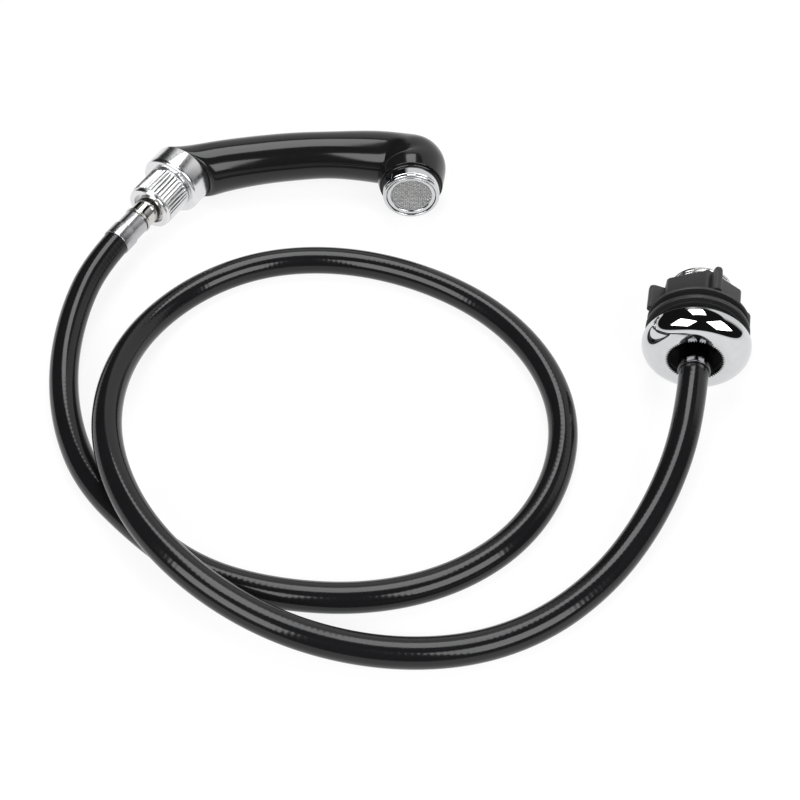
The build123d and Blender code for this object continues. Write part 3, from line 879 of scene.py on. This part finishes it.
def dome_arc(wall):
    """Elliptical quarter from the rim to the crown, drawn in by a wall."""
    arc = []
    for step in range(DOME_STEPS + 1):
        angle = pi / 2 * step / DOME_STEPS
        station = CROWN_DEPTH - (CROWN_DEPTH - wall) * sin(angle)
        arc.append((station, CROWN_R + (dome_r - CROWN_R - wall) * cos(angle)))
    return arc


def toothed(station, radius, angle):
    """Triangular teeth round the wall of the dome's hole."""
    if radius > TOOTH_TIP_R:
        return radius
    return TOOTH_ROOT_R - (TOOTH_ROOT_R - TOOTH_TIP_R) * zigzag(TEETH * angle / tau)


lathe(
    "dome",
    dock,
    [(dome_depth - 0.3, dome_r)]
    + dome_arc(0)
    + [(FACE_DEPTHS[0], FACE_R), (FACE_DEPTHS[1], TOOTH_TIP_R)]
    + [(FACEPLATE, TOOTH_TIP_R), (FACEPLATE, CROWN_R)]
    + dome_arc(DOME_WALL)[::-1]
    + [(dome_depth, dome_r - DOME_WALL), (dome_depth, dome_r - RIM_WIDTH)],
    "chrome",
    "dock",
    ["dock_dome"],
    TEETH * 6,
    toothed,
)

shank_start, shank_end, shank_flange_r = dock.reach("dock_shank")
SHANK_R = 15.0
SHANK_BORE_R = 13.5
SHANK_FLANGE = (9.2, dome_depth)
SHANK_PITCH = 1.5
SHANK_DEPTH = 0.9
SHANK_THREAD = (12.6, shank_end - 0.6)

lathe(
    "shank",
    dock,
    [(shank_start, SHANK_BORE_R), (shank_start, SHANK_R), (SHANK_FLANGE[0], SHANK_R)]
    + [(SHANK_FLANGE[0], shank_flange_r), (SHANK_FLANGE[1], shank_flange_r), (SHANK_FLANGE[1], SHANK_R)]
    + threaded_wall(SHANK_THREAD[0], SHANK_THREAD[1], SHANK_R, SHANK_PITCH)
    + rounded([(shank_end, SHANK_R - 0.7, 0.3), (shank_end, SHANK_BORE_R, 0.3)]),
    "shank_metal",
    "dock",
    ["dock_shank"],
    128,
    thread(SHANK_PITCH, SHANK_DEPTH, SHANK_THREAD[0], SHANK_THREAD[1], SHANK_R),
)

washer_start, washer_end, washer_r = dock.reach("clamp_washer")
WASHER_HOLE_R = SHANK_R + 0.4
WASHER_STEP = 0.25
WASHER_STEP_FROM_EDGE = (3.2, 2.8)

lathe(
    "clamp_ring",
    dock,
    rounded([
        (washer_start, WASHER_HOLE_R, 0.3),
        (washer_start, washer_r - WASHER_STEP_FROM_EDGE[0], 0.2),
        (washer_start + WASHER_STEP, washer_r - WASHER_STEP_FROM_EDGE[1], 0.2),
        (washer_start + WASHER_STEP, washer_r, 0.7),
        (washer_end, washer_r, 0.6),
        (washer_end, WASHER_HOLE_R, 0.3),
    ]),
    "black_plastic",
    "clamp_washer",
    ["clamp_washer"],
    128,
)


# ---- wing nut -------------------------------------------------------------------------------------

flange_start, tower_end, wing_r = dock.reach("wing_nut")
FLANGE_R = 24.5
FLANGE_THICK = 1.2
TOWER_R = 20.9
TOWER_CORNER = radians(2)  # from straight up, towards the dock's side
TOWER_CORNER_CUT = 0.35
TOWER_POINTS = 180
FIRST_WING = radians(12)
WINGS = 4
WING_LENGTH = 14.6
WING_THICK = 3.9
WING_ROOT_R = 17.0
WING_CORNER = 2.4
WING_EDGE = [(0, 1.2), (0.35, 0.5), (1.2, 0)]  # distance from the wing's side, and inset there
WING_BORE_R = SHANK_R + 0.05
BEVEL = 0.45


def solid(name, loops):
    """A closed solid through loops of points, capped at both ends."""
    count = len(loops[0])
    walls = loops_to_faces(len(loops), count)[:-count]
    last = (len(loops) - 1) * count
    caps = [tuple(range(count))[::-1], tuple(range(last, last + count))]
    mesh = bpy.data.meshes.new(name)
    mesh.from_pydata([tuple(p) for loop in loops for p in loop], [], walls + caps)
    face_outward(mesh)
    made = bpy.data.objects.new(name, mesh)
    bpy.context.scene.collection.objects.link(made)
    return made


def prism(outline, start, end):
    """Loops of an outline of (radius, angle) points along the dock's line, with bevelled ends."""
    ends = [(start, BEVEL), (start + BEVEL, 0), (end - BEVEL, 0), (end - BEVEL / 3, BEVEL / 3), (end, BEVEL)]
    return [[dock.at(station, radius - inset, angle) for radius, angle in outline] for station, inset in ends]


def hexagon():
    """Outline of the tower: flat sides with rounded corners."""
    outline = []
    flat_r = TOWER_R * cos(pi / 6)
    for step in range(TOWER_POINTS):
        angle = tau * step / TOWER_POINTS
        off = (angle + pi / 6) % (pi / 3) - pi / 6
        side_r = flat_r / cos(pi / 6 - abs(off))
        outline.append((min(side_r, TOWER_R - TOWER_CORNER_CUT), angle + TOWER_CORNER))
    return outline


def wing(angle):
    """Loops of one wing: rounded at its far corner, with rounded edges."""
    out = dock.up * cos(angle) + dock.side * sin(angle)
    sideways = dock.along.cross(out)
    start = flange_start + FLANGE_THICK / 2
    end = flange_start + FLANGE_THICK + WING_LENGTH
    half = WING_THICK / 2
    first_side = [(depth - half, inset) for depth, inset in WING_EDGE]
    second_side = [(half - depth, inset) for depth, inset in WING_EDGE[::-1]]
    loops = []
    for away, inset in first_side + second_side:
        outline = rounded([
            (start, WING_ROOT_R, 0),
            (start, wing_r - inset, 0),
            (end - inset, wing_r - inset, WING_CORNER),
            (end - inset, WING_ROOT_R, 0),
        ])
        loops.append([dock.start + (dock.along * p.x + out * p.y + sideways * away) * MM for p in outline])
    return loops


def merge(whole, other, operation):
    """Join another solid to one, or cut it away."""
    change = whole.modifiers.new(other.name, "BOOLEAN")
    change.operation = operation
    change.solver = "EXACT"
    change.object = other
    settle(whole)
    bpy.data.objects.remove(other)


def settle(made):
    """Apply a piece's modifiers to its mesh."""
    seen = made.evaluated_get(bpy.context.evaluated_depsgraph_get())
    mesh = bpy.data.meshes.new_from_object(seen)
    made.modifiers.clear()
    made.data = mesh


def make_wing_nut():
    circle = [tau * step / 128 for step in range(128)]
    flange_end = flange_start + FLANGE_THICK
    nut = solid("wing_nut_body", prism([(FLANGE_R, angle) for angle in circle], flange_start, flange_end))
    merge(nut, solid("tower", prism(hexagon(), flange_end - 0.5, tower_end)), "UNION")
    for k in range(WINGS):
        merge(nut, solid("wing", wing(FIRST_WING + tau * k / WINGS)), "UNION")
    bore = []
    for station in (flange_start - 1, tower_end + 1):
        bore.append([dock.at(station, WING_BORE_R, angle) for angle in circle])
    merge(nut, solid("bore", bore), "DIFFERENCE")
    dress(nut, "black_plastic", "wing_nut", ["wing_nut"])


make_wing_nut()


# ---- floor, light and camera ----------------------------------------------------------------------

# The camera's place, tilt and lens come from a fit to the photo too.
CAMERA_AT = (-0.0093, -0.5092, 0.5359)
CAMERA_DOWN = 51.5
CAMERA_LENS = 63.0
BOX_RADIANCE = 5.5
FLOOR_HALF = 40.0
FLOOR_GREY = 0.14
FLOOR_GLOW = 0.86  # with the grey it comes out white, as the photo's ground is
WORLD_DARK = 0.01
WORLD_WHITE = 0.9
# The white wall fades from dark to white over these heights and directions.
WALL_HEIGHT = (0.74, 0.7)
WALL_BEHIND = (0.0, 0.25)
WALL_RIGHT = (-0.3, -0.12)
HORIZON = (0.06, 0.03)


def make_floor():
    mesh = bpy.data.meshes.new("floor")
    half = FLOOR_HALF
    corners = [(-half, -half, 0), (half, -half, 0), (half, half, 0), (-half, half, 0)]
    mesh.from_pydata(corners, [], [(0, 1, 2, 3)])
    floor = bpy.data.objects.new("floor", mesh)
    bpy.context.scene.collection.objects.link(floor)
    s = Shader("floor").set(Roughness=0.9)
    s.set(Base_Color=(FLOOR_GREY, FLOOR_GREY, FLOOR_GREY, 1))
    s.set(Emission_Color=(1, 1, 1, 1), Emission_Strength=FLOOR_GLOW)
    s.principled.inputs["Specular IOR Level"].default_value = 0.0
    mesh.materials.append(s.material)


def fade(tree, value, dark, white):
    """0 where a value is dark, 1 where it is white, and a blend between."""
    made = tree.nodes.new("ShaderNodeMapRange")
    made.inputs["From Min"].default_value = dark
    made.inputs["From Max"].default_value = white
    tree.links.new(value, made.inputs["Value"])
    return made.outputs["Result"]


def combine(tree, operation, first, second):
    """The result of a Math node on two values."""
    made = tree.nodes.new("ShaderNodeMath")
    made.operation = operation
    tree.links.new(first, made.inputs[0])
    tree.links.new(second, made.inputs[1])
    return made.outputs[0]


def make_world():
    """Dark, but for a white wall behind and to the right and a pale band at the horizon."""
    world = bpy.data.worlds.new("studio")
    bpy.context.scene.world = world
    world.use_nodes = True
    tree = world.node_tree
    split = tree.nodes.new("ShaderNodeSeparateXYZ")
    tree.links.new(tree.nodes.new("ShaderNodeTexCoord").outputs["Generated"], split.inputs["Vector"])
    wall = fade(tree, split.outputs["Z"], *WALL_HEIGHT)
    wall = combine(tree, "MULTIPLY", wall, fade(tree, split.outputs["Y"], *WALL_BEHIND))
    wall = combine(tree, "MULTIPLY", wall, fade(tree, split.outputs["X"], *WALL_RIGHT))
    lit = combine(tree, "MAXIMUM", wall, fade(tree, split.outputs["Z"], *HORIZON))
    level = tree.nodes.new("ShaderNodeMapRange")
    level.inputs["To Min"].default_value = WORLD_DARK
    level.inputs["To Max"].default_value = WORLD_WHITE
    tree.links.new(lit, level.inputs["Value"])
    tree.links.new(level.outputs["Result"], tree.nodes["Background"].inputs["Strength"])
    tree.nodes["Background"].inputs["Color"].default_value = (1, 1, 1, 1)


def softbox(name, azimuth, elevation, distance, width, height):
    """A rectangle of light that faces the origin. Azimuth 0 is +Y, and it turns towards +X."""
    light = bpy.data.lights.new(name, "AREA")
    light.shape = "RECTANGLE"
    light.size = width
    light.size_y = height
    light.energy = BOX_RADIANCE * pi * width * height
    lamp = bpy.data.objects.new(name, light)
    a, e = radians(azimuth), radians(elevation)
    lamp.location = Vector((sin(a) * cos(e), cos(a) * cos(e), sin(e))) * distance
    lamp.rotation_euler = (-lamp.location).to_track_quat("-Z", "Y").to_euler()
    bpy.context.scene.collection.objects.link(lamp)


def make_camera():
    camera = bpy.data.cameras.new("camera")
    camera.lens = CAMERA_LENS
    eye = bpy.data.objects.new("camera", camera)
    eye.location = CAMERA_AT
    eye.rotation_euler = (radians(90 - CAMERA_DOWN), 0, 0)
    bpy.context.scene.collection.objects.link(eye)
    bpy.context.scene.camera = eye


make_floor()
make_world()
softbox("overhead", azimuth=0, elevation=72, distance=1.5, width=0.68, height=1.05)
softbox("front_right", azimuth=141, elevation=38, distance=1.5, width=1.0, height=0.85)
softbox("front_left", azimuth=222, elevation=38, distance=1.5, width=1.0, height=0.85)
make_camera()
bpy.context.scene.view_settings.view_transform = "Standard"
